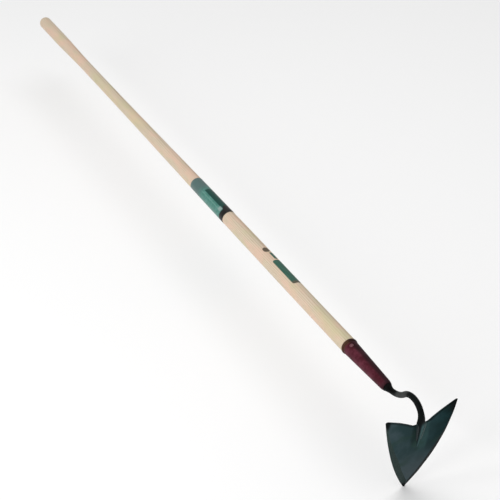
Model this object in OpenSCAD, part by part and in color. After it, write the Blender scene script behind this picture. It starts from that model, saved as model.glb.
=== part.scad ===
// Long-handled Warren hoe: ash handle, painted ferrule, gooseneck shank and dished pointed blade.
// Millimetres. The handle lies along X and the head is at its +X end, with the blade's point down.
// The origin is the centre of the straight grip near the butt.

/* [Handle] */
// Length from the butt to the end of the nose inside the ferrule
handle_len = 1372; // [1200:4:1500]
// Diameter of the straight grip
grip_d = 24.5; // [22:0.5:26]
// Length of the straight grip
grip_len = 80; // [60:5:120]
// Radius of the butt's rounded edge
butt_round = 10; // [8:0.5:11]
// Diameter of the slim waist
waist_d = 20; // [18:0.5:22]
// Where the straight waist starts
waist_start = 190; // [150:5:220]
// Where the straight waist ends
waist_end = 270; // [230:10:400]
// Where the throat reaches its full diameter
throat_start = 950; // [800:10:1100]
// Diameter of the throat, from there to the ferrule
throat_d = 25.4; // [24.5:0.1:26]

/* [Ferrule] */
// Length of the ferrule
ferrule_len = 108; // [100:1:120]
// Diameter of the ferrule's cone at its mouth
mouth_d = 25.2; // [24:0.2:26]
// Diameter the ferrule's cone runs to at its small end
small_end_d = 16.8; // [15.6:0.2:18]
// Diameter of the small end once it is turned in
turned_in_d = 14.8; // [14.4:0.2:15.6]
// Thickness of the ferrule's sheet steel
ferrule_wall = 1.2; // [0.8:0.1:1.5]
// Diameter of the rolled rim
rim_d = 26.8; // [26.4:0.2:28]
// Length of the rolled rim
rim_len = 5; // [4:0.5:7]
// How far the wood stops short of the ferrule's small end
nose_gap = 3.5; // [3:0.5:6]
// Diameter of the rivet's shaft
rivet_d = 3.2; // [2.5:0.1:4]
// Diameter of the rivet's two heads
rivet_head_d = 6; // [5:0.5:7]
// Distance of the rivet from the ferrule's mouth
rivet_at = 14; // [10:1:30]
// Angle of the rivet from straight up, about the handle
rivet_turn = 20; // [0:5:40]

/* [Shank] */
// Diameter of the gooseneck
neck_d = 9; // [8:0.5:10]
// Diameter of the shoulder that closes the ferrule
shoulder_d = 14; // [13:0.2:14.4]
// Length over which the shoulder tapers to the gooseneck
shoulder_len = 11; // [9:1:20]
// Length of the tang inside the wood
tang_len = 118; // [108:1:130]
// Diameter of the tang where it leaves the wood
tang_root_d = 8.6; // [8:0.2:9.4]
// Diameter of the tang's tip
tang_tip_d = 5.6; // [5.2:0.2:7]
// Radius of the rising bend
rise_r = 57; // [50:1:70]
// How far the rising bend lifts the neck, in degrees
rise_turn = 45; // [40:0.5:50]
// Radius of the bend that brings the neck level again
level_r = 31; // [26:1:38]
// Radius of the bend down into the blade
drop_r = 22; // [18:1:26]
// Length of the tongue that runs down the blade from the notch
tongue_len = 46; // [36:1:54]
// Width of the tongue just below the notch
tongue_w = 13; // [11:0.5:15]

/* [Blade] */
// Width across the ears
blade_w = 117.5; // [100:0.5:125]
// Height from the line of the ears to the point
blade_h = 165.5; // [150:0.5:180]
// Thickness at the middle
blade_t = 3; // [2.4:0.1:3.6]
// Angle between the handle and the blade
blade_angle = 82.4; // [74:0.2:90]
// Depth of the notch below the line of the ears
notch_depth = 25.5; // [20:0.5:30]
// Width of the notch
notch_w = 21.6; // [18:0.2:26]
// How far each side bows outwards
side_bow = 8; // [4:0.2:11]
// How far each top edge bows upwards
top_bow = 1.6; // [0:0.2:2.4]
// Width of the blunt end of each ear and of the point
blunt_w = 3; // [1:0.5:4]
// Radius of the dish
dish_r = 650; // [560:10:900]
// Depth below the line of the ears at which the dish is fullest
dish_depth = 59; // [50:1:70]

/* [Label and stripe] */
// Distance from the ferrule's mouth back to the wrapped label
wrap_back = 393; // [330:1:440]
// Length of the wrapped label
wrap_len = 125; // [90:1:150]
// Distance from the ferrule's mouth back to the printed stripe
stripe_back = 159; // [120:1:180]
// Length of the printed stripe
stripe_len = 113; // [80:1:130]
// How far the stripe reaches round the handle, in degrees
stripe_turn = 80; // [50:5:110]
// Angle of the stripe's middle from straight up, about the handle
stripe_at = 14; // [-20:1:40]
// Thickness of the label's film
film = 0.25; // [0.2:0.05:0.4]

/* [Hidden] */
$fn = 96;
dish_fn = 240;

// Places along the handle
butt_x = -grip_len / 2 - butt_round;
nose_x = butt_x + handle_len;
small_end_x = nose_x + nose_gap;
mouth_x = small_end_x - ferrule_len;
rivet_x = mouth_x + rivet_at;
tang_x = nose_x - tang_len;

// Small sizes that nobody needs to change
butt_steps = 6;
fall_steps = 8;
rise_steps = 20;
film_steps = 4;
rim_edge = 0.8;
rivet_over = 0.9;
rivet_crown_d = 3.6;
turn_in_len = 6;
bore_spare = 2;
overlap = 1;
slab = 60;

// The gooseneck's rings
ring_gap = 3.5;
ring_sides = 20;
neck_lead = 1.5;
neck_level = 2;
neck_foot = 6.5;

// The tongue and its welds, measured from the notch
tongue_lead = 5;
tongue_swell = 2;
tongue_tip_w = 3.6;
tongue_t = 8.8;
tongue_tip_t = 2.2;
bead_len = 30;
bead_d = 5.4;
bead_tip_d = 2;
bead_out = 6.2;
bead_tip_out = 3.6;
bead_forward = 1.2;

// The blade's front is a tighter curve than its back, by twice this much
blade_thinning = 30;
outline_steps = 16;

// Eases from a at t = 0 to b at t = 1, level at both ends
function ease(a, b, t) = a + (b - a) * t * t * (3 - 2 * t);

// Reads the straight line from [x, r] point a to [x, r] point b at x
function on_line(a, b, x) = a.y + (b.y - a.y) * (x - a.x) / (b.x - a.x);

// Point at t on the way from a to b, on a curve that bows out to the right of that way
function bowed(a, b, bow, t) =
  let (way = b - a, right = [way.y, -way.x] / norm(way))
  a + way * t + right * 4 * bow * t * (1 - t);

// Radius at x of the handle's throat, the ferrule's outside and the ferrule's inside
function throat_r(x) =
  ease(waist_d, throat_d, min(1, (x - waist_end) / (throat_start - waist_end))) / 2;
function cone_r(x) = on_line([mouth_x, mouth_d / 2], [small_end_x, small_end_d / 2], x);
function inner_r(x) = cone_r(x) - ferrule_wall;
plug_r = turned_in_d / 2 - ferrule_wall;

// Solid turned about the handle's axis from [radius, x] points. A part turn is centred on the
// angle at, counted from straight up towards +Y.
module turned(points, turn = 360, at = 0) {
  rotate([0, 90, 0])
    rotate([0, 0, 180 - at - turn / 2])
      rotate_extrude(angle = turn)
        polygon(points);
}

// Puts what stands along Z on the rivet's axis
module at_rivet() {
  translate([rivet_x, 0, 0])
    rotate([rivet_turn, 0, 0])
      children();
}

module rivet_hole() {
  at_rivet()
    cylinder(d = rivet_d, h = slab, center = true);
}

// The handle as it is turned, before it is drilled
module handle_blank() {
  butt = [for (i = [0 : butt_steps])
    let (a = 90 * i / butt_steps)
    [grip_d / 2 - butt_round + butt_round * sin(a), butt_x + butt_round - butt_round * cos(a)]];
  fall = [for (i = [0 : fall_steps])
    let (t = i / fall_steps)
    [ease(grip_d, waist_d, t) / 2, grip_len / 2 + (waist_start - grip_len / 2) * t]];
  throat = [for (i = [0 : rise_steps])
    let (x = waist_end + (throat_start - waist_end) * i / rise_steps)
    [throat_r(x), x]];
  nose = [[throat_r(mouth_x), mouth_x], [inner_r(mouth_x), mouth_x], [inner_r(nose_x), nose_x], [0, nose_x]];
  turned(concat([[0, butt_x]], butt, fall, throat, nose));
}

// The tang's taper, with extra length at its tip and past its root
module tang_shape(spare) {
  turned([[0, tang_x - spare], [tang_tip_d / 2, tang_x - spare], [tang_tip_d / 2, tang_x],
          [tang_root_d / 2, nose_x], [tang_root_d / 2, nose_x + overlap],
          [0, nose_x + overlap]]);
}

module handle() {
  color("burlywood")
    difference() {
      handle_blank();
      tang_shape(bore_spare);
      rivet_hole();
    }
}

module ferrule() {
  rim_x = mouth_x + rim_len;
  turn_in_x = small_end_x - turn_in_len;
  color("#572b35")
    difference() {
      turned([[inner_r(mouth_x), mouth_x], [rim_d / 2 - rim_edge, mouth_x],
              [rim_d / 2, mouth_x + rim_edge], [rim_d / 2, rim_x - rim_edge],
              [cone_r(rim_x), rim_x], [cone_r(turn_in_x), turn_in_x],
              [turned_in_d / 2, small_end_x], [plug_r, small_end_x],
              [inner_r(nose_x), nose_x]]);
      rivet_hole();
    }
}

// One rivet head: a low cone whose underside is left for the ferrule to shape
module rivet_head() {
  rotate_extrude()
    polygon([[0, -overlap], [rivet_head_d / 2, -overlap], [rivet_head_d / 2, 0.1],
             [rivet_crown_d / 2, rivet_over], [0, rivet_over]]);
}

module ferrule_pin() {
  reach = cone_r(rivet_x);
  color("dimgray") {
    at_rivet()
      cylinder(d = rivet_d, h = 2 * reach + rivet_over, center = true);
    difference() {
      at_rivet()
        for (side = [0, 180])
          rotate([side, 0, 0])
            translate([0, 0, reach])
              rivet_head();
      turned([[0, mouth_x], [cone_r(mouth_x), mouth_x], [cone_r(small_end_x), small_end_x],
              [0, small_end_x]]);
    }
  }
}

// Height of the blade's middle surface over the line of the ears, at a depth below that line
dish_drop = dish_r - sqrt(dish_r * dish_r - dish_depth * dish_depth);
function dish_n(depth) = dish_drop - dish_r + sqrt(dish_r * dish_r - pow(depth - dish_depth, 2));

// The gooseneck as stretches of [length, turn], the turn in degrees and upwards when positive
notch_tilt = asin((dish_depth - notch_depth) / dish_r);
drop_turn = 180 - blade_angle - notch_tilt;
function bend(r, turn) = [r * abs(turn) * PI / 180, turn];
neck_stretches = [[neck_lead, 0], bend(rise_r, rise_turn), [neck_level, 0],
                  bend(level_r, -rise_turn), bend(drop_r, -drop_turn), [neck_foot, 0]];

// Walks the stretches in even steps and lists [x, z, heading, way gone] at each
function walk(i, k, x, z, h, gone) =
  i == len(neck_stretches) ? [[x, z, h, gone]] :
  let (steps = ceil(neck_stretches[i][0] / ring_gap),
       step = neck_stretches[i][0] / steps,
       turn = neck_stretches[i][1] / steps,
       chord = turn == 0 ? step : step * sin(turn / 2) / (turn / 2 * PI / 180),
       last = k + 1 == steps)
  concat([[x, z, h, gone]],
         walk(last ? i + 1 : i, last ? 0 : k + 1, x + chord * cos(h + turn / 2),
              z + chord * sin(h + turn / 2), h + turn, gone + step));

neck_frames = walk(0, 0, small_end_x, 0, 0, 0);
notch_point = neck_frames[len(neck_frames) - 1];

// Radius of the shoulder and gooseneck after a length of way
function neck_r(gone) =
  neck_d / 2 + (shoulder_d - neck_d) / 2 * pow(max(0, 1 - gone / shoulder_len), 1.4);

module gooseneck() {
  rings = [for (f = neck_frames) for (k = [0 : ring_sides - 1])
    let (a = 360 * k / ring_sides, r = neck_r(f[3]))
    [f.x - r * cos(a) * sin(f[2]), r * sin(a), f.y + r * cos(a) * cos(f[2])]];
  count = len(neck_frames);
  sides = [for (i = [0 : count - 2]) for (k = [0 : ring_sides - 1])
    let (a = i * ring_sides + k, b = i * ring_sides + (k + 1) % ring_sides)
    each [[a, b, b + ring_sides], [a, b + ring_sides, a + ring_sides]]];
  first = [for (k = [ring_sides - 1 : -1 : 0]) k];
  final = [for (k = [0 : ring_sides - 1]) (count - 1) * ring_sides + k];
  polyhedron(points = rings, faces = concat([first], sides, [final]));
}

// Puts the blade's own axes in place: X out of its front, Z up, zero on the line of the ears
blade_tilt = 90 - blade_angle;
notch_n = dish_n(notch_depth);
ear_x = notch_point.x - notch_n * cos(blade_tilt) + notch_depth * sin(blade_tilt);
ear_z = notch_point.y + notch_n * sin(blade_tilt) + notch_depth * cos(blade_tilt);
module at_blade() {
  translate([ear_x, 0, ear_z])
    rotate([0, blade_tilt, 0])
      children();
}

// Zero in the notch, Z up along the tongue, which lies on a chord of the dish
tongue_tilt = atan((dish_n(notch_depth + tongue_len) - notch_n) / tongue_len);
module at_tongue() {
  at_blade()
    translate([notch_n, 0, -notch_depth])
      rotate([0, -tongue_tilt, 0])
        children();
}

// A spear shape, flattened front and back
module tongue() {
  at_tongue()
    intersection() {
      rotate_extrude()
        polygon([[0, -tongue_len], [tongue_tip_w / 2, -tongue_len], [tongue_w / 2, -tongue_swell],
                 [neck_d / 2 + 0.1, tongue_lead], [0, tongue_lead]]);
      rotate([90, 0, 0])
        linear_extrude(slab, center = true)
          polygon([[tongue_tip_t / 2, -tongue_len - overlap], [tongue_t / 2, -tongue_swell],
                   [tongue_t / 2, tongue_lead + overlap], [-tongue_t / 2, tongue_lead + overlap],
                   [-tongue_t / 2, -tongue_swell], [-tongue_tip_t / 2, -tongue_len - overlap]]);
    }
}

module shank() {
  color("#1b211f")
    difference() {
      union() {
        tang_shape(0);
        turned([[0, nose_x], [inner_r(nose_x), nose_x], [plug_r, small_end_x],
                [plug_r, small_end_x + overlap], [0, small_end_x + overlap]]);
        gooseneck();
        tongue();
      }
      rivet_hole();
    }
}

// Half the blade's outline, from the point up the right side and down to the notch
blunt = blunt_w / 2;
half_outline = concat(
  [for (i = [0 : outline_steps])
    bowed([blunt, -blade_h], [blade_w / 2, -blunt_w], side_bow, i / outline_steps)],
  [for (i = [0 : outline_steps / 2])
    bowed([blade_w / 2 - blunt, 0], [notch_w / 2, -notch_depth], top_bow,
          2 * i / outline_steps)]);

// The blade is bent from top to bottom only. Its front is the tighter curve, so it thins both ways
front_r = dish_r - blade_thinning;
back_r = dish_r + blade_thinning;
front_centre = dish_drop + blade_t / 2 - front_r;
back_centre = dish_drop - blade_t / 2 - back_r;

module dish_roll(r) {
  rotate([90, 0, 0])
    cylinder(r = r, h = 3 * slab, center = true, $fn = dish_fn);
}

module blade() {
  other_half = [for (i = [len(half_outline) - 1 : -1 : 0]) [-half_outline[i].x, half_outline[i].y]];
  color("#38474a")
    difference() {
      at_blade()
        difference() {
          intersection() {
            rotate([90, 0, 90])
              linear_extrude(slab, center = true)
                polygon(concat(half_outline, other_half));
            translate([front_centre, 0, -dish_depth])
              dish_roll(front_r);
          }
          translate([back_centre, 0, -dish_depth])
            dish_roll(back_r);
        }
      tongue();
    }
}

// Everything behind the blade's front beside the tongue, with the front's curve in short flats
module behind_front() {
  front = [for (i = [0 : outline_steps])
    let (depth = notch_depth - tongue_lead + (bead_len + 2 * tongue_lead) * i / outline_steps)
    [front_centre + sqrt(front_r * front_r - pow(depth - dish_depth, 2)), -depth]];
  at_blade()
    rotate([90, 0, 0])
      linear_extrude(slab, center = true)
        polygon(concat([[-slab, front[0].y]], front, [[-slab, front[outline_steps].y]]));
}

module weld_beads() {
  lean = atan((bead_out - bead_tip_out) / bead_len);
  color("#262d2c")
    difference() {
      at_tongue()
        for (side = [-1, 1])
          translate([bead_forward, side * bead_out, 0])
            rotate([-side * lean, 0, 0]) {
              sphere(d = bead_d);
              translate([0, 0, -bead_len])
                cylinder(d1 = bead_tip_d, d2 = bead_d, h = bead_len);
            }
      behind_front();
      tongue();
    }
}

// Film laid on the throat from one x to another
module laid_film(x0, x1, turn, at) {
  outer = [for (i = [0 : film_steps])
    let (x = x0 + (x1 - x0) * i / film_steps)
    [throat_r(x) + film, x]];
  difference() {
    turned(concat([[0, x0]], outer, [[0, x1]]), turn, at);
    handle_blank();
  }
}

module label_wrap() {
  color("#55806f")
    laid_film(mouth_x - wrap_back - wrap_len, mouth_x - wrap_back, 360, 0);
}

module stripe_decal() {
  color("#4a6e63")
    laid_film(mouth_x - stripe_back - stripe_len, mouth_x - stripe_back, stripe_turn, stripe_at);
}

handle();
ferrule();
ferrule_pin();
shank();
blade();
weld_beads();
label_wrap();
stripe_decal();
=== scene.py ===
# Long-handled Warren hoe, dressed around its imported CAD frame. Metres.
# The handle lies along X with the head at its +X end, and the blade's point is down.
import math

import bmesh
import bpy
from mathutils import Matrix, Vector


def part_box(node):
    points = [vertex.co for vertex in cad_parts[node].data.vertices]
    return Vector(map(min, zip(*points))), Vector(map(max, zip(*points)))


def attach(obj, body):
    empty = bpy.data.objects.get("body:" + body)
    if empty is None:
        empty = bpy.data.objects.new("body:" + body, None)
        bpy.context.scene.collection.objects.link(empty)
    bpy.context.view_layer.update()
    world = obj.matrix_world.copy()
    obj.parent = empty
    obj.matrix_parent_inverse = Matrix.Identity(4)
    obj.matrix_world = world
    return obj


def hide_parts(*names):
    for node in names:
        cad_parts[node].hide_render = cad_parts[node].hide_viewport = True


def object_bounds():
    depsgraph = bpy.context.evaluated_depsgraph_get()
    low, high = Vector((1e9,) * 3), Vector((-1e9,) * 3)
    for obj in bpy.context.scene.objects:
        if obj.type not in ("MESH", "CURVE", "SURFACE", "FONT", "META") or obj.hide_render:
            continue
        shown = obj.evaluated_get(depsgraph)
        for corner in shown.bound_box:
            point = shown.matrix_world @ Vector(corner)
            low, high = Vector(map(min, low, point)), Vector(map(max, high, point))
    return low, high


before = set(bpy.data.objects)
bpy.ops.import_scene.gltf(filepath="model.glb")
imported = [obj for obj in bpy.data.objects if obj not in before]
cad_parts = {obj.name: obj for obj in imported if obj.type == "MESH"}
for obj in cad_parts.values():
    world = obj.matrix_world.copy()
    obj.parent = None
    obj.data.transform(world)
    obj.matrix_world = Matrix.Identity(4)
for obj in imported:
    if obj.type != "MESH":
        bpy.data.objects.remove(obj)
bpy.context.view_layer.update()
MM = 0.001

# ---------------------------------------------------------------- places read from the frame
BUTT_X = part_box("handle")[0].x
NOSE_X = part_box("handle")[1].x
MOUTH_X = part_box("ferrule")[0].x
SMALL_END_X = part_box("ferrule")[1].x
RIM_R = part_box("ferrule")[1].z
LABEL_X0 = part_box("label_wrap")[0].x
LABEL_X1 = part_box("label_wrap")[1].x
STRIPE_X0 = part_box("stripe_decal")[0].x
STRIPE_X1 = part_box("stripe_decal")[1].x
HALF_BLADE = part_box("blade")[1].y
FLOOR_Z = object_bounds()[0][2]

# ---------------------------------------------------------------- sizes that follow the CAD
GRIP_R = 12.25 * MM
GRIP_END_X = 40 * MM
BUTT_ROUND = 10 * MM
WAIST_R = 10 * MM
WAIST_X0 = 190 * MM
WAIST_X1 = 270 * MM
THROAT_X = 950 * MM
THROAT_R = 12.7 * MM
MOUTH_R = 12.6 * MM
SMALL_END_R = 8.4 * MM
FERRULE_WALL = 1.2 * MM
TURNED_IN_R = 7.4 * MM
TURN_IN_LEN = 6 * MM
FILM = 0.25 * MM

RIVET_X = MOUTH_X + 14 * MM
RIVET_TURN = math.radians(20)
RIVET_R = 1.6 * MM
RIVET_HEAD_R = 3.1 * MM
RIVET_CROWN = 1.1 * MM

NECK_R = 4.42 * MM
SHOULDER_R = 7 * MM
SHOULDER_LEN = 11 * MM
NECK_LEAD = 1.5 * MM
RISE_R = 57 * MM
RISE_TURN = math.radians(45)
NECK_LEVEL = 2 * MM
LEVEL_R = 31 * MM
DROP_R = 22 * MM
NECK_FOOT = 6.5 * MM
TONGUE_LEN = 46 * MM
TONGUE_HALF_W = 6.5 * MM
TONGUE_HALF_T = 4.4 * MM

BLADE_H = 165.4 * MM
BLADE_T = 3 * MM
BLADE_TILT = math.radians(7.6)
NOTCH_DEPTH = 25.5 * MM
HALF_NOTCH = 10.8 * MM
SIDE_BOW = 8 * MM
TOP_BOW = 1.6 * MM
BLUNT = 1.5 * MM
DISH_R = 650 * MM
DISH_DEPTH = 59 * MM
THINNING = 30 * MM
EDGE_T = 0.6 * MM

# How far each darker part of the blade reaches: the point and ears, and the painted shade along the upper
# rim and inside the right edge. An ear has a width and a height, by side.
DARK_TIP = 17 * MM
DARK_RIM = 7 * MM
DARK_FLANK = 9 * MM
DARK_EARS = {-1: (12 * MM, 26 * MM), 1: (26 * MM, 44 * MM)}

# ---------------------------------------------------------------- small mesh helpers


def ease(a, b, t):
    """From a at t = 0 to b at t = 1, level at both ends and outside them."""
    t = min(max(t, 0.0), 1.0)
    return a + (b - a) * t * t * (3 - 2 * t)


def spread(a, b, count):
    """count + 1 even values from a to b."""
    return [a + (b - a) * i / count for i in range(count + 1)]


def ring_at(x, radius, sides):
    """A ring about the handle's axis. radius is a number or a function of the angle from +Z."""
    points = []
    for k in range(sides):
        a = 2 * math.pi * k / sides
        r = radius(a) if callable(radius) else radius
        points.append(Vector((x, r * math.sin(a), r * math.cos(a))))
    return points


def skin(bm, rings, capped=True):
    """Skins rings of one size. Without caps the last ring joins the first, as on a tube's wall."""
    rows = [[bm.verts.new(p) for p in ring] for ring in rings]
    pairs = list(zip(rows, rows[1:]))
    if not capped:
        pairs.append((rows[-1], rows[0]))
    for a, b in pairs:
        for k in range(len(a)):
            j = (k + 1) % len(a)
            bm.faces.new((a[k], a[j], b[j], b[k]))
    if capped:
        bm.faces.new(rows[0])
        bm.faces.new(rows[-1])


def sheet_solid(bm, outer, inner):
    """Closes two grids of points of one size into a thin solid."""
    front = [[bm.verts.new(p) for p in row] for row in outer]
    back = [[bm.verts.new(p) for p in row] for row in inner]
    last_i = len(front) - 1
    last_k = len(front[0]) - 1
    for i in range(last_i):
        for k in range(last_k):
            bm.faces.new((front[i][k], front[i][k + 1], front[i + 1][k + 1], front[i + 1][k]))
            bm.faces.new((back[i][k], back[i + 1][k], back[i + 1][k + 1], back[i][k + 1]))
    for i in range(last_i):
        for k in (0, last_k):
            bm.faces.new((front[i][k], front[i + 1][k], back[i + 1][k], back[i][k]))
    for k in range(last_k):
        for i in (0, last_i):
            bm.faces.new((front[i][k], front[i][k + 1], back[i][k + 1], back[i][k]))


def make_piece(bm, name, node, material, crease=35):
    """Turns a bmesh into a piece that stands for a CAD node."""
    bmesh.ops.recalc_face_normals(bm, faces=bm.faces)
    mesh = bpy.data.meshes.new(name)
    bm.to_mesh(mesh)
    bm.free()
    mesh.shade_smooth()
    mesh.set_sharp_from_angle(angle=math.radians(crease))
    mesh.materials.append(material)
    piece = bpy.data.objects.new(name, mesh)
    bpy.context.scene.collection.objects.link(piece)
    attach(piece, "root")
    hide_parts(node)
    return piece


# ---------------------------------------------------------------- small material helpers


def srgb(r, g, b):
    """A colour given as it looks on a screen."""
    linear = [c / 12.92 if c <= 0.04045 else ((c + 0.055) / 1.055) ** 2.4 for c in (r, g, b)]
    return (*linear, 1.0)


def new_material(name):
    """An empty node material. Returns the material, its tree and its shader."""
    material = bpy.data.materials.new(name)
    material.use_nodes = True
    tree = material.node_tree
    shader = tree.nodes["Principled BSDF"]
    return material, tree, shader


def add(tree, kind, inputs, **settings):
    """Adds a node. Each input is a plain value or another node's output."""
    node = tree.nodes.new("ShaderNode" + kind)
    for key, value in settings.items():
        setattr(node, key, value)
    for key, value in inputs.items():
        if isinstance(value, bpy.types.NodeSocket):
            tree.links.new(value, node.inputs[key])
        else:
            node.inputs[key].default_value = value
    return node


def plug(tree, shader, name, output):
    tree.links.new(output, shader.inputs[name])


def place(tree):
    """The point's place in the frame."""
    return add(tree, "TexCoord", {}).outputs["Object"]


def scaled(tree, vector, scale, shift=(0, 0, 0)):
    return add(tree, "Mapping", {"Vector": vector, "Scale": scale, "Location": shift}).outputs[0]


def noise(tree, vector, scale, detail=3.0, roughness=0.5, distortion=0.0):
    inputs = {"Vector": vector, "Scale": scale, "Detail": detail}
    inputs["Roughness"] = roughness
    inputs["Distortion"] = distortion
    return add(tree, "TexNoise", inputs).outputs[0]


def calc(tree, operation, a, b=0.0):
    return add(tree, "Math", {0: a, 1: b}, operation=operation).outputs[0]


def band(tree, value, low, high, to_low=0.0, to_high=1.0):
    """Reads value from low to high as to_low to to_high, with soft ends."""
    inputs = {"Value": value, "From Min": low, "From Max": high}
    inputs["To Min"] = to_low
    inputs["To Max"] = to_high
    return add(tree, "MapRange", inputs, interpolation_type="SMOOTHSTEP").outputs[0]


def inside(tree, value, low, high, soft):
    """1 between low and high, 0 outside, over a soft edge."""
    rise = band(tree, value, low - soft, low + soft)
    fall = band(tree, value, high - soft, high + soft, 1.0, 0.0)
    return calc(tree, "MULTIPLY", rise, fall)


def mix(tree, factor, a, b, blend="MIX"):
    node = add(tree, "Mix", {0: factor, 6: a, 7: b}, data_type="RGBA", blend_type=blend)
    return node.outputs[2]


def bump(tree, height, distance, strength=1.0, normal=None):
    inputs = {"Height": height, "Distance": distance, "Strength": strength}
    if normal is not None:
        inputs["Normal"] = normal
    return add(tree, "Bump", inputs).outputs[0]


def axes(tree, vector):
    """X along the handle, and the angle about it from +Z towards +Y."""
    parts = add(tree, "SeparateXYZ", {0: vector}).outputs
    angle = calc(tree, "ARCTAN2", parts[1], parts[2])
    return parts[0], angle


# ---------------------------------------------------------------- materials


def ash_wood():
    """Pale, straight-grained ash under a thin satin lacquer."""
    material, tree, shader = new_material("ash_wood")
    here = place(tree)
    sway = noise(tree, scaled(tree, here, (2.2, 9, 9)), 1.0, 2.0)
    moved = add(tree, "VectorMath", {0: here, 1: (0, 0.021, 0.034)}).outputs[0]
    swayed = add(tree, "CombineXYZ", {1: calc(tree, "MULTIPLY", sway, 0.011)}).outputs[0]
    pith = add(tree, "VectorMath", {0: moved, 1: swayed}).outputs[0]
    ring_place = scaled(tree, pith, (0.06, 1, 1))
    rings = add(
        tree,
        "TexWave",
        {"Vector": ring_place, "Scale": 118.0, "Distortion": 1.6, "Detail": 2.0},
        wave_type="RINGS",
        rings_direction="X",
        wave_profile="SAW",
    ).outputs[1]
    fibre = noise(tree, scaled(tree, here, (0.018, 1, 1)), 1500.0, 4.0, 0.6)
    pores = noise(tree, scaled(tree, here, (0.045, 1, 1)), 2600.0, 2.0, 0.5)
    cloud = noise(tree, scaled(tree, here, (0.35, 1, 1)), 55.0, 3.0, 0.55)
    patch = noise(tree, scaled(tree, here, (0.5, 1, 1), (3.1, 0, 0)), 34.0, 2.0)
    late = srgb(0.815, 0.76, 0.68)
    early = srgb(0.715, 0.64, 0.53)
    grain = mix(tree, band(tree, rings, 0.45, 1.0), late, early)
    grain = mix(tree, band(tree, fibre, 0.35, 0.75, 0.0, 0.45), grain, srgb(0.69, 0.61, 0.50))
    warm = mix(tree, band(tree, cloud, 0.4, 0.66, 0.0, 0.6), grain, srgb(0.85, 0.71, 0.63))
    toned = mix(tree, band(tree, patch, 0.46, 0.68, 0.0, 0.5), warm, srgb(0.74, 0.73, 0.56))
    pore_mask = calc(tree, "MULTIPLY", band(tree, pores, 0.62, 0.7), band(tree, rings, 0.3, 0.9))
    tint = calc(tree, "MULTIPLY", pore_mask, 0.55)
    colour = mix(tree, tint, toned, srgb(0.50, 0.40, 0.30))
    plug(tree, shader, "Base Color", colour)
    plug(tree, shader, "Roughness", band(tree, fibre, 0.2, 0.8, 0.42, 0.6))
    relief = calc(tree, "SUBTRACT", calc(tree, "MULTIPLY", rings, -0.4), pore_mask)
    plug(tree, shader, "Normal", bump(tree, relief, 0.12 * MM, 0.6))
    shader.inputs["Specular IOR Level"].default_value = 0.2
    shader.inputs["Coat Weight"].default_value = 0.1
    shader.inputs["Coat Roughness"].default_value = 0.4
    return material


def ferrule_paint():
    """Maroon enamel with orange peel, scuffs, a brown band at the mouth, and painted shade down its top
    and +Y side.
    """
    material, tree, shader = new_material("ferrule_paint")
    here = place(tree)
    along, angle = axes(tree, here)
    cloud = noise(tree, here, 70.0, 3.0, 0.55)
    peel = noise(tree, here, 900.0, 2.0)
    scuff = noise(tree, scaled(tree, here, (0.25, 1, 1)), 420.0, 4.0, 0.65)
    base = mix(tree, band(tree, cloud, 0.35, 0.68), srgb(0.255, 0.08, 0.12), srgb(0.355, 0.155, 0.205))
    # A brown band at the mouth, its edge made wavy by the cloud noise.
    mouth_band_edge = calc(tree, "ADD", along, calc(tree, "MULTIPLY", cloud, 7 * MM))
    mouth = band(tree, mouth_band_edge, MOUTH_X + 8 * MM, MOUTH_X + 13 * MM, 1.0, 0.0)
    base = mix(tree, mouth, base, srgb(0.29, 0.19, 0.14))
    tail = band(tree, along, SMALL_END_X - 9 * MM, SMALL_END_X, 0.0, 0.75)
    base = mix(tree, tail, base, srgb(0.10, 0.03, 0.045))
    # Painted shade: the ferrule's top and +Y side, turned away from the light, darkened to a deep maroon.
    crown = inside(tree, angle, math.radians(-15), math.radians(75), math.radians(14))
    base = mix(tree, calc(tree, "MULTIPLY", crown, 0.75), base, srgb(0.12, 0.035, 0.06))
    chips = band(tree, scuff, 0.66, 0.72, 0.0, 0.6)
    colour = mix(tree, chips, base, srgb(0.40, 0.20, 0.25))
    plug(tree, shader, "Base Color", colour)
    plug(tree, shader, "Roughness", band(tree, scuff, 0.3, 0.75, 0.4, 0.58))
    fine = bump(tree, peel, 0.06 * MM, 0.5)
    plug(tree, shader, "Normal", bump(tree, scuff, 0.05 * MM, 0.35, fine))
    shader.inputs["Specular IOR Level"].default_value = 0.08
    return material


def rivet_steel():
    """The ferrule's enamel, rubbed through on the rivet's crown."""
    material, tree, shader = new_material("rivet_steel")
    here = place(tree)
    rub = noise(tree, here, 700.0, 4.0, 0.6)
    bare = band(tree, rub, 0.42, 0.6)
    colour = mix(tree, bare, srgb(0.34, 0.12, 0.17), srgb(0.47, 0.33, 0.35))
    plug(tree, shader, "Base Color", colour)
    plug(tree, shader, "Metallic", calc(tree, "MULTIPLY", bare, 0.7))
    plug(tree, shader, "Roughness", band(tree, rub, 0.3, 0.7, 0.36, 0.55))
    plug(tree, shader, "Normal", bump(tree, rub, 0.08 * MM, 0.5))
    return material


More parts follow.
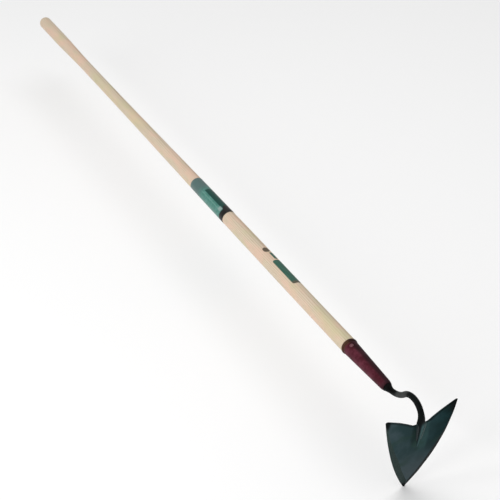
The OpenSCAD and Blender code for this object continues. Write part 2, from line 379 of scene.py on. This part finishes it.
def black_steel():
    """Forged steel in black enamel, black near the ferrule, with a painted grey highlight where the neck
    is lowest and darker past it; slate on the tongue, with painted shade on its left flank.
    """
    material, tree, shader = new_material("black_steel")
    here = place(tree)
    pits = noise(tree, here, 620.0, 4.0, 0.62)
    cloud = noise(tree, here, 85.0, 3.0, 0.5)
    rub = noise(tree, here, 260.0, 5.0, 0.68)
    base = mix(tree, band(tree, cloud, 0.36, 0.66), srgb(0.02, 0.03, 0.027), srgb(0.07, 0.09, 0.085))
    along, across, up = add(tree, "SeparateXYZ", {0: here}).outputs
    root = band(tree, along, SMALL_END_X + 15 * MM, SMALL_END_X + 26 * MM, 1.0, 0.0)
    base = mix(tree, root, base, srgb(0.0, 0.0, 0.0))
    # Painted highlight: a grey band where the neck is lowest, between the black root and a darker stretch
    # past it.
    painted_highlight = inside(tree, along, SMALL_END_X + 26 * MM, SMALL_END_X + 52 * MM, 4 * MM)
    base = mix(tree, calc(tree, "MULTIPLY", painted_highlight, 0.85), base, srgb(0.225, 0.23, 0.225))
    over = band(tree, along, SMALL_END_X + 52 * MM, SMALL_END_X + 58 * MM)
    base = mix(tree, calc(tree, "MULTIPLY", over, 0.6), base, srgb(0.0, 0.015, 0.015))
    # Painted shade: the tongue's left flank is a dark copy of its slate paint, the right flank the lit
    # one.
    flank = band(tree, across, -2.5 * MM, 1.5 * MM)
    tongue = mix(tree, flank, srgb(0.01, 0.07, 0.08), srgb(0.22, 0.345, 0.35))
    base = mix(tree, band(tree, up, NOTCH.z - 4 * MM, NOTCH.z + 7 * MM, 1.0, 0.0), base, tongue)
    colour = mix(tree, band(tree, rub, 0.62, 0.74, 0.0, 0.4), base, srgb(0.17, 0.19, 0.18))
    plug(tree, shader, "Base Color", colour)
    plug(tree, shader, "Roughness", band(tree, pits, 0.3, 0.7, 0.44, 0.62))
    fine = bump(tree, pits, 0.18 * MM, 0.5)
    plug(tree, shader, "Normal", bump(tree, cloud, 0.5 * MM, 0.4, fine))
    shader.inputs["Specular IOR Level"].default_value = 0.06
    return material


def point_grey_and_tongue_painted_light(tree, base, across, up):
    """Greys the enamel towards the point, and paints a highlight right of the tongue and a shadow left of
    it.
    """
    low = band(tree, up, -40 * MM, -105 * MM, 0.0, 0.55)
    base = mix(tree, low, base, srgb(0.31, 0.35, 0.37))
    # Painted highlight: a pale slate strip right of the tongue, on its lit side.
    beside = inside(tree, up, NOTCH.z - 52 * MM, NOTCH.z + 10 * MM, 9 * MM)
    pale = calc(tree, "MULTIPLY", beside, inside(tree, across, 2 * MM, 15 * MM, 3 * MM))
    base = mix(tree, calc(tree, "MULTIPLY", pale, 0.6), base, srgb(0.20, 0.315, 0.315))
    # Painted shadow: dark teal left of the tongue, where the neck and tongue cast their shade.
    shaded = inside(tree, up, NOTCH.z - 34 * MM, NOTCH.z + 10 * MM, 7 * MM)
    dark = calc(tree, "MULTIPLY", shaded, inside(tree, across, -13 * MM, 0, 3 * MM))
    return mix(tree, calc(tree, "MULTIPLY", dark, 0.7), base, srgb(0.02, 0.09, 0.10))


def blade_steel():
    """Slate-green enamel on hammered plate with filed bevels, a painted highlight on the left bevel and
    painted shade on the right bevel and the right wing.
    """
    material, tree, shader = new_material("blade_steel")
    here = place(tree)
    _, across, up = add(tree, "SeparateXYZ", {0: here}).outputs
    ground = add(tree, "Attribute", {}, attribute_name="ground").outputs["Fac"]
    corner = add(tree, "Attribute", {}, attribute_name="corner").outputs["Fac"]
    rim = add(tree, "Attribute", {}, attribute_name="rim").outputs["Fac"]
    flank = add(tree, "Attribute", {}, attribute_name="flank").outputs["Fac"]
    cloud = noise(tree, here, 26.0, 4.0, 0.55, 0.4)
    green = noise(tree, scaled(tree, here, (1, 1, 1), (0.4, 0.2, 0)), 34.0, 3.0, 0.5)
    speck = noise(tree, here, 900.0, 3.0, 0.6)
    grit = noise(tree, scaled(tree, here, (1, 1, 0.16)), 1500.0, 3.0, 0.6)
    # Painted shade: the right wing is a darker teal copy of the left wing's slate, as it turns away from
    # the light.
    side = band(tree, across, -HALF_BLADE, HALF_BLADE)
    wash = band(tree, cloud, 0.35, 0.66)
    left = mix(tree, wash, srgb(0.165, 0.25, 0.26), srgb(0.25, 0.315, 0.335))
    right = mix(tree, wash, srgb(0.02, 0.14, 0.145), srgb(0.08, 0.21, 0.22))
    base = point_grey_and_tongue_painted_light(tree, mix(tree, side, left, right), across, up)
    base = mix(tree, band(tree, green, 0.5, 0.7, 0.0, 0.55), base, srgb(0.145, 0.24, 0.20))
    base = mix(tree, band(tree, speck, 0.62, 0.74, 0.0, 0.3), base, srgb(0.27, 0.31, 0.32))
    # Painted shade inside the right edge, where the bevel faces away from the light.
    base = mix(tree, calc(tree, "MULTIPLY", flank, 0.85), base, srgb(0.0, 0.05, 0.055))
    # Painted light and shade on the filed bevels: the left bevel a paler lit copy, the right bevel a
    # darker shaded copy.
    shaded_filed = mix(tree, band(tree, grit, 0.35, 0.7), srgb(0.0, 0.015, 0.015), srgb(0.04, 0.07, 0.07))
    lit_filed = mix(tree, band(tree, grit, 0.35, 0.7), srgb(0.13, 0.19, 0.18), srgb(0.24, 0.28, 0.27))
    filed = mix(tree, band(tree, across, -10 * MM, 10 * MM), lit_filed, shaded_filed)
    base = mix(tree, band(tree, ground, 0.02, 0.2, 0.0, 0.9), base, filed)
    # Painted shade along the upper rim.
    base = mix(tree, band(tree, rim, 0.1, 0.9, 0.0, 0.6), base, srgb(0.03, 0.06, 0.06))
    colour = mix(tree, band(tree, corner, 0.05, 0.7, 0.0, 0.95), base, srgb(0.02, 0.04, 0.04))
    plug(tree, shader, "Base Color", colour)
    gloss = calc(tree, "ADD", band(tree, cloud, 0.3, 0.7, 0.48, 0.56), calc(tree, "MULTIPLY", speck, 0.1))
    plug(tree, shader, "Roughness", gloss)
    fine = bump(tree, speck, 0.08 * MM, 0.5)
    wide = bump(tree, cloud, 0.9 * MM, 0.3, fine)
    scored = calc(tree, "MULTIPLY", grit, band(tree, ground, 0.02, 0.3))
    plug(tree, shader, "Normal", bump(tree, scored, 0.1 * MM, 0.6, wide))
    shader.inputs["Specular IOR Level"].default_value = 0.03
    return material


def weld_steel():
    """Painted weld metal with its fine solidification rings, the left bead a painted-shade copy and the
    right bead a lit copy.
    """
    material, tree, shader = new_material("weld_steel")
    here = place(tree)
    drops = noise(tree, here, 520.0, 4.0, 0.6)
    _, across, _ = add(tree, "SeparateXYZ", {0: here}).outputs
    # Painted shade on the left bead and painted light on the right one: lit and shaded copies of the weld
    # colour.
    flank = band(tree, across, -1 * MM, 1 * MM)
    pale = mix(tree, flank, srgb(0.06, 0.14, 0.15), srgb(0.24, 0.33, 0.32))
    dark = mix(tree, flank, srgb(0.02, 0.08, 0.09), srgb(0.15, 0.23, 0.23))
    colour = mix(tree, band(tree, drops, 0.36, 0.66), dark, pale)
    plug(tree, shader, "Base Color", colour)
    plug(tree, shader, "Roughness", band(tree, drops, 0.3, 0.7, 0.36, 0.55))
    plug(tree, shader, "Normal", bump(tree, drops, 0.2 * MM, 0.5))
    shader.inputs["Specular IOR Level"].default_value = 0.2
    return material


def label_film():
    """A teal wrapped label: grey head, dark green side panel, light rule and a black foot."""
    material, tree, shader = new_material("label_film")
    here = place(tree)
    along, angle = axes(tree, here)
    mottle = noise(tree, here, 160.0, 3.0, 0.6)
    print_dots = noise(tree, here, 2400.0, 2.0)
    teal = mix(tree, band(tree, mottle, 0.35, 0.68), srgb(0.25, 0.455, 0.41), srgb(0.33, 0.52, 0.485))
    head = band(tree, along, LABEL_X0 + 24 * MM, LABEL_X0 + 46 * MM, 1.0, 0.0)
    colour = mix(tree, head, teal, srgb(0.31, 0.405, 0.395))
    panel_along = inside(tree, along, LABEL_X0 + 42 * MM, LABEL_X1 + 20 * MM, 2 * MM)
    panel_round = inside(tree, angle, math.radians(-24), math.radians(100), math.radians(3))
    panel = calc(tree, "MULTIPLY", panel_along, panel_round)
    colour = mix(tree, panel, colour, srgb(0.045, 0.25, 0.22))
    rule_along = inside(tree, along, LABEL_X0 + 40 * MM, LABEL_X1 - 22 * MM, 1 * MM)
    rule_round = inside(tree, angle, math.radians(-48), math.radians(-40), math.radians(2))
    rule = calc(tree, "MULTIPLY", rule_along, rule_round)
    colour = mix(tree, calc(tree, "MULTIPLY", rule, 0.55), colour, srgb(0.42, 0.58, 0.54))
    mark_along = inside(tree, along, LABEL_X1 - 24 * MM, LABEL_X1 - 15 * MM, 1 * MM)
    mark_round = inside(tree, angle, math.radians(-52), math.radians(-20), math.radians(4))
    mark = calc(tree, "MULTIPLY", mark_along, mark_round)
    colour = mix(tree, mark, colour, srgb(0.50, 0.59, 0.57))
    early = band(tree, angle, math.radians(-30), math.radians(5), 0.0, 9 * MM)
    foot = band(tree, calc(tree, "ADD", along, early), LABEL_X1 - 14 * MM, LABEL_X1 - 12.5 * MM)
    colour = mix(tree, foot, colour, srgb(0.09, 0.09, 0.08))
    plug(tree, shader, "Base Color", colour)
    plug(tree, shader, "Roughness", band(tree, mottle, 0.3, 0.7, 0.3, 0.42))
    plug(tree, shader, "Normal", bump(tree, print_dots, 0.03 * MM, 0.4))
    shader.inputs["Specular IOR Level"].default_value = 0.25
    return material


def stripe_ink():
    """Green screen print with a brown dot and tail, thin enough for the grain to show."""
    material, tree, shader = new_material("stripe_ink")
    here = place(tree)
    along = add(tree, "SeparateXYZ", {0: here}).outputs[0]
    fibre = noise(tree, scaled(tree, here, (0.03, 1, 1)), 1500.0, 3.0, 0.6)
    ink = mix(tree, band(tree, fibre, 0.35, 0.72), srgb(0.12, 0.31, 0.26), srgb(0.27, 0.41, 0.35))
    brown = srgb(0.36, 0.31, 0.25)
    dot = band(tree, along, STRIPE_X0 + 13 * MM, STRIPE_X0 + 15 * MM, 1.0, 0.0)
    tail = band(tree, along, STRIPE_X1 - 12 * MM, STRIPE_X1 - 5 * MM, 0.0, 0.8)
    colour = mix(tree, dot, ink, brown)
    colour = mix(tree, tail, colour, brown)
    plug(tree, shader, "Base Color", colour)
    plug(tree, shader, "Roughness", band(tree, fibre, 0.3, 0.7, 0.4, 0.56))
    plug(tree, shader, "Normal", bump(tree, fibre, 0.05 * MM, 0.5))
    shader.inputs["Specular IOR Level"].default_value = 0.25
    return material


# ---------------------------------------------------------------- the handle and its prints


def throat_radius(x):
    return ease(WAIST_R, THROAT_R, (x - WAIST_X1) / (THROAT_X - WAIST_X1))


def cone_radius(x):
    """Outside radius of the ferrule's cone."""
    return MOUTH_R + (SMALL_END_R - MOUTH_R) * (x - MOUTH_X) / (SMALL_END_X - MOUTH_X)


def handle_radius(x):
    """Radius of the wood from the straight grip to the ferrule's mouth."""
    if x < WAIST_X0:
        return ease(GRIP_R, WAIST_R, (x - GRIP_END_X) / (WAIST_X0 - GRIP_END_X))
    return throat_radius(x)


def build_handle():
    """The turned handle: domed butt, grip, waist, swelling throat and the nose in the ferrule."""
    sides = 72
    dome_steps = 12
    ring_gap = 7 * MM
    shave = 0.05 * MM
    centre_r = 0.3 * MM
    saw_cut = 0.4 * MM
    flat_r = GRIP_R - BUTT_ROUND
    bm = bmesh.new()
    rings = [ring_at(BUTT_X, centre_r, sides)]
    for a in spread(0, math.pi / 2, dome_steps):
        x = BUTT_X + BUTT_ROUND * (1 - math.cos(a)) + saw_cut * math.cos(a)
        rings.append(ring_at(x, flat_r + BUTT_ROUND * math.sin(a), sides))
    start_x = BUTT_X + BUTT_ROUND + 2 * MM
    for x in spread(start_x, MOUTH_X, round((MOUTH_X - start_x) / ring_gap)):
        swing = shave * math.sin(x * 61) if GRIP_END_X < x < MOUTH_X - 20 * MM else 0

        def radius(a, x=x, swing=swing):
            return handle_radius(x) + swing * math.sin(2 * a + x * 23)

        rings.append(ring_at(x, radius, sides))
    for x in (MOUTH_X + 0.2 * MM, NOSE_X):
        rings.append(ring_at(x, cone_radius(x) - FERRULE_WALL, sides))
    skin(bm, rings)
    return make_piece(bm, "ash_handle", "handle", ash_wood())


def build_label():
    """The wrapped label, whose ends overlap in a step underneath."""
    sides = 120
    soft = 0.3 * MM
    tuck = 0.1 * MM
    lap_from = math.radians(168)
    lap_to = math.radians(190)
    lap_lift = 1.8

    def outside(x, lift):
        def radius(a):
            lap = lap_lift if lap_from < a < lap_to else 1.0
            return throat_radius(x) + lift * lap
        return radius

    bm = bmesh.new()
    rings = [ring_at(LABEL_X0, throat_radius(LABEL_X0) - tuck, sides)]
    rings.append(ring_at(LABEL_X0, outside(LABEL_X0, 0.5 * FILM), sides))
    for x in spread(LABEL_X0 + soft, LABEL_X1 - soft, 14):
        rings.append(ring_at(x, outside(x, FILM), sides))
    rings.append(ring_at(LABEL_X1, outside(LABEL_X1, 0.5 * FILM), sides))
    rings.append(ring_at(LABEL_X1, throat_radius(LABEL_X1) - tuck, sides))
    skin(bm, rings, capped=False)
    return make_piece(bm, "label_sleeve", "label_wrap", label_film(), 50)


def print_patch(bm, x0, x1, width, corner, at):
    """One printed shape: a rounded oblong bent round the wood, at an angle from +Z."""
    steps = 22
    lanes = 8
    tuck = 0.05 * MM
    lift = 0.12 * MM
    least_half = 0.15 * MM
    outer = []
    inner = []
    for i in range(steps + 1):
        u = 0.5 - 0.5 * math.cos(math.pi * i / steps)
        x = x0 + (x1 - x0) * u
        gap = min(x - x0, x1 - x, corner)
        half = width / 2 - corner + math.sqrt(max(corner**2 - (corner - gap) ** 2, 0.0))
        half = max(half, least_half)
        r = throat_radius(x)
        row_out = []
        row_in = []
        for c in spread(-half, half, lanes):
            a = at + c / r
            way = Vector((0, math.sin(a), math.cos(a)))
            row_out.append(Vector((x, 0, 0)) + way * (r + lift))
            row_in.append(Vector((x, 0, 0)) + way * (r - tuck))
        outer.append(row_out)
        inner.append(row_in)
    sheet_solid(bm, outer, inner)


def build_stripe():
    """A dot, a thin line and a bar, in place of what was printed there."""
    at = math.radians(15)
    dot_to = STRIPE_X0 + 14 * MM
    line_from = STRIPE_X0 + 17 * MM
    line_to = STRIPE_X0 + 37 * MM
    bar_from = STRIPE_X0 + 40.5 * MM
    bm = bmesh.new()
    print_patch(bm, STRIPE_X0 + 1 * MM, dot_to, 11 * MM, 5 * MM, at - 0.1)
    print_patch(bm, line_from, line_to, 6 * MM, 2 * MM, at + 0.15)
    print_patch(bm, bar_from, STRIPE_X1 - 2 * MM, 16 * MM, 3.5 * MM, at)
    return make_piece(bm, "stripe_print", "stripe_decal", stripe_ink(), 50)


# ---------------------------------------------------------------- the ferrule and its rivet


def build_ferrule():
    """A drawn steel cone with a rolled rim, a turned-in small end and a lap seam underneath."""
    sides = 96
    bead = 2.5 * MM
    bead_rise = 0.55
    bead_x = MOUTH_X + bead
    cone_from = MOUTH_X + 6.5 * MM
    bore_from = MOUTH_X + 4 * MM
    seam_at = math.radians(205)
    seam_half = math.radians(9)
    seam_lift = 0.35 * MM

    def seamed(x):
        def radius(a):
            rise = max(0.0, 1 - abs(a - seam_at) / seam_half)
            return cone_radius(x) + seam_lift * min(1.0, 3 * rise)
        return radius

    bm = bmesh.new()
    bead_base = RIM_R - bead * bead_rise
    rings = []
    for a in spread(-math.pi * 0.5, math.pi * 0.5, 12):
        x = bead_x + bead * math.sin(a)
        rings.append(ring_at(x, bead_base + bead_rise * bead * math.cos(a), sides))
    turn_in_x = SMALL_END_X - TURN_IN_LEN
    for x in spread(cone_from, turn_in_x - 1 * MM, 34):
        rings.append(ring_at(x, seamed(x), sides))
    for u in spread(0, 1, 6):
        x = turn_in_x + (TURN_IN_LEN - 0.2 * MM) * u
        drop = (cone_radius(turn_in_x) - TURNED_IN_R) * u**1.3
        rings.append(ring_at(x, cone_radius(turn_in_x) - 0.05 * MM - drop, sides))
    rings.append(ring_at(SMALL_END_X, TURNED_IN_R - 0.4 * MM, sides))
    rings.append(ring_at(SMALL_END_X, TURNED_IN_R - FERRULE_WALL, sides))
    rings.append(ring_at(NOSE_X, cone_radius(NOSE_X) - FERRULE_WALL, sides))
    rings.append(ring_at(bore_from, cone_radius(bore_from) - FERRULE_WALL, sides))
    rings.append(ring_at(MOUTH_X, cone_radius(MOUTH_X) - FERRULE_WALL, sides))
    skin(bm, rings, capped=False)
    return make_piece(bm, "ferrule_shell", "ferrule", ferrule_paint())


def build_rivet():
    """One rivet through ferrule, wood and tang, with a domed head at each end."""
    sides = 40
    seat = 0.7 * MM
    reach = cone_radius(RIVET_X)
    half = [(0.0, RIVET_R), (reach - seat, RIVET_R), (reach - seat, RIVET_HEAD_R)]
    for a in spread(0.15, math.pi / 2 - 0.06, 8):
        half.append((reach + RIVET_CROWN * math.sin(a), RIVET_HEAD_R * math.cos(a)))
    profile = [(-z, r) for z, r in reversed(half)] + half[1:]
    turn = Matrix.Translation((RIVET_X, 0, 0)) @ Matrix.Rotation(RIVET_TURN, 4, "X")
    rings = []
    for z, r in profile:
        ring = []
        for k in range(sides):
            a = 2 * math.pi * k / sides
            ring.append(turn @ Vector((r * math.cos(a), r * math.sin(a), z)))
        rings.append(ring)
    bm = bmesh.new()
    skin(bm, rings)
    return make_piece(bm, "ferrule_rivet", "ferrule_pin", rivet_steel())


# ---------------------------------------------------------------- the blade's shape


def roll_rise(radius, depth):
    """How far a level roll's surface stands over its centre, at a depth on the blade."""
    return math.sqrt(radius**2 - (depth - DISH_DEPTH) ** 2)


DISH_DROP = DISH_R - roll_rise(DISH_R, 0)


def dish(depth):
    """Height of the blade's middle surface on its centre line."""
    return DISH_DROP - DISH_R + roll_rise(DISH_R, depth)


def front_height(depth):
    r = DISH_R - THINNING
    return DISH_DROP + BLADE_T / 2 - r + roll_rise(r, depth)


def back_height(depth):
    r = DISH_R + THINNING
    return DISH_DROP - BLADE_T / 2 - r + roll_rise(r, depth)


def neck_stretches():
    """The gooseneck as straight runs and bends: (length, turn), upwards when positive."""
    notch_tilt = math.asin((DISH_DEPTH - NOTCH_DEPTH) / DISH_R)
    drop_turn = math.pi / 2 + BLADE_TILT - notch_tilt
    return [
        (NECK_LEAD, 0.0),
        (RISE_R * RISE_TURN, RISE_TURN),
        (NECK_LEVEL, 0.0),
        (LEVEL_R * RISE_TURN, -RISE_TURN),
        (DROP_R * drop_turn, -drop_turn),
        (NECK_FOOT, 0.0),
    ]


def neck_path(gap):
    """Even steps along the gooseneck: (point, heading, way gone)."""
    point = Vector((SMALL_END_X, 0, 0))
    heading = 0.0
    gone = 0.0
    frames = [(point.copy(), heading, gone)]
    for length, turn in neck_stretches():
        steps = math.ceil(length / gap)
        half = turn / steps / 2
        chord = length / steps * (math.sin(half) / half if half else 1.0)
        for _ in range(steps):
            middle = heading + half
            point = point + chord * Vector((math.cos(middle), 0, math.sin(middle)))
            heading += 2 * half
            gone += length / steps
            frames.append((point.copy(), heading, gone))
    return frames


NOTCH = neck_path(1.5 * MM)[-1][0]
OUT_OF_FRONT = Vector((math.cos(BLADE_TILT), 0, -math.sin(BLADE_TILT)))
UP_THE_BLADE = Vector((math.sin(BLADE_TILT), 0, math.cos(BLADE_TILT)))
EARS = NOTCH - dish(NOTCH_DEPTH) * OUT_OF_FRONT + NOTCH_DEPTH * UP_THE_BLADE


def on_blade(height, across, depth):
    """From the blade's own axes to the frame."""
    return EARS + height * OUT_OF_FRONT + Vector((0, across, 0)) - depth * UP_THE_BLADE


def bowed(a, b, bow, t):
    """Point at t from a to b, on a curve that bows out to the right of that way."""
    way = b - a
    right = Vector((way.y, -way.x)).normalized()
    return a + way * t + right * 4 * bow * t * (1 - t)


def side_point(t):
    """Right side edge, from the point at t = 0 up to the ear, as (across, height)."""
    return bowed(Vector((BLUNT, -BLADE_H)), Vector((HALF_BLADE, -2 * BLUNT)), SIDE_BOW, t)


def top_edge_at(height):
    """How far out the right top edge is at a height."""
    ear = Vector((HALF_BLADE - BLUNT, 0))
    notch = Vector((HALF_NOTCH, -NOTCH_DEPTH))
    halvings = 40
    low = 0.0
    high = 1.0
    for _ in range(halvings):
        t = (low + high) / 2
        if bowed(ear, notch, TOP_BOW, t).y > height:
            low = t
        else:
            high = t
    return bowed(ear, notch, TOP_BOW, low).x


def blade_rows():
    """Level rows of the right half: (t, outer end, inner end, depth), from the point to the ear."""
    side_steps = 96
    rows = []
    for t in spread(0, 1, side_steps):
        point = side_point(t)
        if point.y < -NOTCH_DEPTH:
            inner = 0.0
        else:
            inner = top_edge_at(point.y)
        rows.append((t, point.x, inner, -point.y))
    rows.append((1.0, HALF_BLADE - 0.4 * BLUNT, top_edge_at(-0.7 * BLUNT), 0.7 * BLUNT))
    return rows


def bevel_width(t):
    """Width of the ground bevel along the side edge, from the point to the ear."""
    return ease(10.5 * MM, 2.5 * MM, (t - 0.42) / 0.5)


def blade_lane(outer, inner, bevel, lanes):
    """Places across one row, from the side edge in: close together over the bevel."""
    width = outer - inner
    ground = min(bevel, 0.96 * width)
    fractions = [0.0, 0.08, 0.3, 0.55, 0.8, 1.0]
    places = [outer - ground * f for f in fractions]
    rest = outer - ground - inner
    for f in spread(0, 1, lanes)[1:]:
        places.append(outer - ground - rest * f)
    return places, ground


def ripple(across, depth):
    """Low hammer marks, as heights."""
    a = math.sin(across * 131 + 1.7) * math.sin(depth * 117 + 0.6)
    b = math.sin(across * 233 + depth * 71) * math.sin(depth * 191 - across * 97 + 2.1)
    return 0.12 * MM * a + 0.07 * MM * b


def paint_masks(side, outer, inner, across, depth):
    """Where the blade is darker: its corners, and painted shade along its upper rim and down its right
    flank.
    """
    corner_w, corner_h = DARK_EARS[side]
    tip = ease(1, 0, (BLADE_H - depth) / DARK_TIP)
    ear = ease(1, 0, (HALF_BLADE - across) / corner_w) * ease(1, 0, depth / corner_h)
    rim = ease(1, 0, (across - inner) / DARK_RIM) if inner > 0 else 0.0
    flank = ease(1, 0, (outer - across) / DARK_FLANK) if side > 0 else 0.0
    return {"corner": max(tip, ear), "rim": rim, "flank": flank}


def blade_vertex(bm, layers, point, masks):
    vert = bm.verts.new(point)
    for name, value in masks.items():
        vert[layers[name]] = value
    return vert


def blade_half(bm, layers, side, all_rows):
    """Front and back of the plate on one side, as grids of vertices from the edge to the middle."""
    lanes = 20
    front_grid = []
    back_grid = []
    for t, outer, inner, depth in all_rows:
        places, ground = blade_lane(outer, inner, bevel_width(t), lanes)
        front_row = []
        back_row = []
        for across in places:
            cut = max(0.0, 1 - (outer - across) / ground)
            front = front_height(depth) + ripple(side * across, depth)
            back = back_height(depth) + ripple(side * across, depth)
            front -= max(0.0, front - back - EDGE_T) * cut
            masks = paint_masks(side, outer, inner, across, depth)
            masks["ground"] = min(1.0, cut * 4)
            point = on_blade(front, side * across, depth)
            front_row.append(blade_vertex(bm, layers, point, masks))
            masks["ground"] = 0.0
            point = on_blade(back, side * across, depth)
            back_row.append(blade_vertex(bm, layers, point, masks))
        front_grid.append(front_row)
        back_grid.append(back_row)
    return front_grid, back_grid


def close_half(bm, front, back, all_rows):
    """Skins one half of the plate, and joins front to back along every edge but the middle."""
    last = len(front) - 1
    final = len(front[0]) - 1
    for i in range(last):
        for k in range(final):
            for grid in (front, back):
                bm.faces.new((grid[i][k], grid[i][k + 1], grid[i + 1][k + 1], grid[i + 1][k]))
        bm.faces.new((front[i][0], front[i + 1][0], back[i + 1][0], back[i][0]))
        if all_rows[i + 1][2] > 0:
            bm.faces.new((front[i][final], front[i + 1][final], back[i + 1][final], back[i][final]))
    for k in range(final):
        for i in (0, last):
            bm.faces.new((front[i][k], front[i][k + 1], back[i][k + 1], back[i][k]))


def build_blade():
    """The plate between two level rolls, with ground bevels along both sides of its front."""
    bm = bmesh.new()
    layers = {}
    for name in ("ground", "corner", "rim", "flank"):
        layers[name] = bm.verts.layers.float.new(name)
    all_rows = blade_rows()
    for side in (-1, 1):
        front, back = blade_half(bm, layers, side, all_rows)
        close_half(bm, front, back, all_rows)
    bmesh.ops.remove_doubles(bm, verts=bm.verts, dist=0.005 * MM)
    return make_piece(bm, "blade_plate", "blade", blade_steel(), 30)


# ---------------------------------------------------------------- the gooseneck and its welds


def oval(centre, side, normal, half_w, half_t, sides, ridge=0.0):
    """A ring across a bar, with a low parting line on each flank."""
    ring = []
    for k in range(sides):
        a = 2 * math.pi * k / sides
        lift = ridge if k in (sides // 4, 3 * sides // 4) else 0.0
        out = side * (half_w + lift) * math.sin(a) + normal * half_t * math.cos(a)
        ring.append(centre + out)
    return ring


def build_neck():
    """Shoulder, gooseneck and tongue, forged in one bar."""
    sides = 40
    across = Vector((0, 1, 0))
    ridge = 0.16 * MM
    plug_r = TURNED_IN_R - FERRULE_WALL
    plug_len = 3 * MM
    rings = []
    for back, r in ((plug_len, plug_r), (0.2 * MM, plug_r), (-0.1 * MM, SHOULDER_R - 0.3 * MM)):
        centre = Vector((SMALL_END_X - back, 0, 0))
        rings.append(oval(centre, across, Vector((0, 0, 1)), r, r, sides))
    frames = neck_path(1.5 * MM)
    swell_len = 22 * MM
    swell_from = frames[-1][2] - swell_len
    for point, heading, gone in frames[1:]:
        taper = max(0.0, 1 - gone / SHOULDER_LEN)
        r = NECK_R + (SHOULDER_R - NECK_R) * taper**1.4
        t = (gone - swell_from) / swell_len
        half_w = r + ease(0, TONGUE_HALF_W - NECK_R, t)
        normal = Vector((-math.sin(heading), 0, math.cos(heading)))
        edge = ridge * ease(0, 1, (gone - SHOULDER_LEN) / (10 * MM))
        rings.append(oval(point, across, normal, half_w, r, sides, edge))
    tip_w = 1.6 * MM
    tip_t = 1.7 * MM
    round_from = 0.93
    for u in spread(0, 1, 30)[1:]:
        depth = NOTCH_DEPTH + TONGUE_LEN * u
        half_w = TONGUE_HALF_W + (tip_w - TONGUE_HALF_W) * u**1.15
        half_t = TONGUE_HALF_T + (tip_t - TONGUE_HALF_T) * u**0.9
        past = max(0.0, (u - round_from) / (1 - round_from))
        close = math.sqrt(max(0.0, 1 - past**2))
        close = max(close, 0.12)
        centre = on_blade(dish(depth), 0, depth)
        rings.append(oval(centre, across, OUT_OF_FRONT, half_w * close, half_t * close, sides))
    bm = bmesh.new()
    skin(bm, rings)
    return make_piece(bm, "gooseneck", "shank", black_steel())


def build_welds():
    """Rippled weld beads down both flanks of the tongue."""
    sides = 18
    steps = 56
    length = 30 * MM
    lead = 3 * MM
    ripple_gap = 2.1 * MM
    ripple_rise = 0.22 * MM
    stand = 1.2 * MM
    out_top = 6.2 * MM
    out_low = 3.6 * MM
    r_top = 2.7 * MM
    r_low = 1.1 * MM
    bm = bmesh.new()
    for side in (-1, 1):
        rings = []
        for u in spread(0, 1, steps):
            depth = NOTCH_DEPTH - lead + (length + lead) * u
            out = out_top + (out_low - out_top) * u
            beat = abs(math.sin(math.pi * (length + lead) * u / ripple_gap))
            r = r_top + (r_low - r_top) * u + ripple_rise * beat
            r *= math.sqrt(max(0.02, 1 - abs(2 * u - 1) ** 9))
            centre = on_blade(dish(depth) + stand, side * out, depth)
            rings.append(oval(centre, Vector((0, 1, 0)), OUT_OF_FRONT, r, r, sides))
        skin(bm, rings)
    return make_piece(bm, "tongue_welds", "weld_beads", weld_steel())


# ---------------------------------------------------------------- floor, light and camera


def build_floor():
    """A plain pale floor under the blade's point."""
    reach = 14.0
    gap = 0.2 * MM
    mesh = bpy.data.meshes.new("floor")
    corners = [(-reach, -reach), (reach, -reach), (reach, reach), (-reach, reach)]
    mesh.from_pydata([(x, y, FLOOR_Z - gap) for x, y in corners], [], [(0, 1, 2, 3)])
    material, _, shader = new_material("floor_white")
    shader.inputs["Base Color"].default_value = (0.97, 0.97, 0.97, 1)
    shader.inputs["Roughness"].default_value = 0.9
    shader.inputs["Specular IOR Level"].default_value = 0.1
    mesh.materials.append(material)
    floor = bpy.data.objects.new("floor", mesh)
    bpy.context.scene.collection.objects.link(floor)


def soft_box(name, place_at, aim_at, size, power):
    """A square soft box that faces a point."""
    data = bpy.data.lights.new(name, "AREA")
    data.shape = "SQUARE"
    data.size = size
    data.energy = power
    light = bpy.data.objects.new(name, data)
    light.location = place_at
    light.rotation_euler = (Vector(aim_at) - Vector(place_at)).to_track_quat("-Z", "Y").to_euler()
    bpy.context.scene.collection.objects.link(light)


def build_lights():
    """An even white surround, with a large soft key from the picture's left."""
    world = bpy.data.worlds.new("white_surround")
    world.use_nodes = True
    background = world.node_tree.nodes["Background"]
    background.inputs["Color"].default_value = (1, 1, 1, 1)
    background.inputs["Strength"].default_value = 0.5
    bpy.context.scene.world = world
    middle = (0.9, 0, -0.02)
    soft_box("key", (1.7, -3.0, 1.5), middle, 2.2, 64)
    soft_box("top", (0.6, 0.5, 3.4), middle, 3.0, 46)


def build_camera():
    """The photograph's viewing angle."""
    azimuth = math.radians(62.184)
    elevation = math.radians(33.736)
    roll = math.radians(0.609)
    target = Vector((1.050, -0.0785, 0.09379))
    distance = 2.1638
    lens_mm = 103.26
    level = math.cos(elevation)
    back = Vector((math.sin(azimuth) * level, -math.cos(azimuth) * level, math.sin(elevation)))
    right = Vector((math.cos(azimuth), math.sin(azimuth), 0))
    up = back.cross(right)
    turned_right = right * math.cos(roll) + up * math.sin(roll)
    turned_up = up * math.cos(roll) - right * math.sin(roll)
    data = bpy.data.cameras.new("camera")
    data.lens = lens_mm
    data.sensor_width = 36
    data.clip_end = 60
    camera = bpy.data.objects.new("camera", data)
    turn = Matrix((turned_right, turned_up, back)).transposed()
    camera.matrix_world = Matrix.Translation(target + back * distance) @ turn.to_4x4()
    bpy.context.scene.collection.objects.link(camera)
    bpy.context.scene.camera = camera


build_camera()
build_lights()
build_floor()
build_handle()
build_label()
build_stripe()
build_ferrule()
build_rivet()
build_neck()
build_blade()
build_welds()
bpy.context.scene.view_settings.view_transform = "Standard"
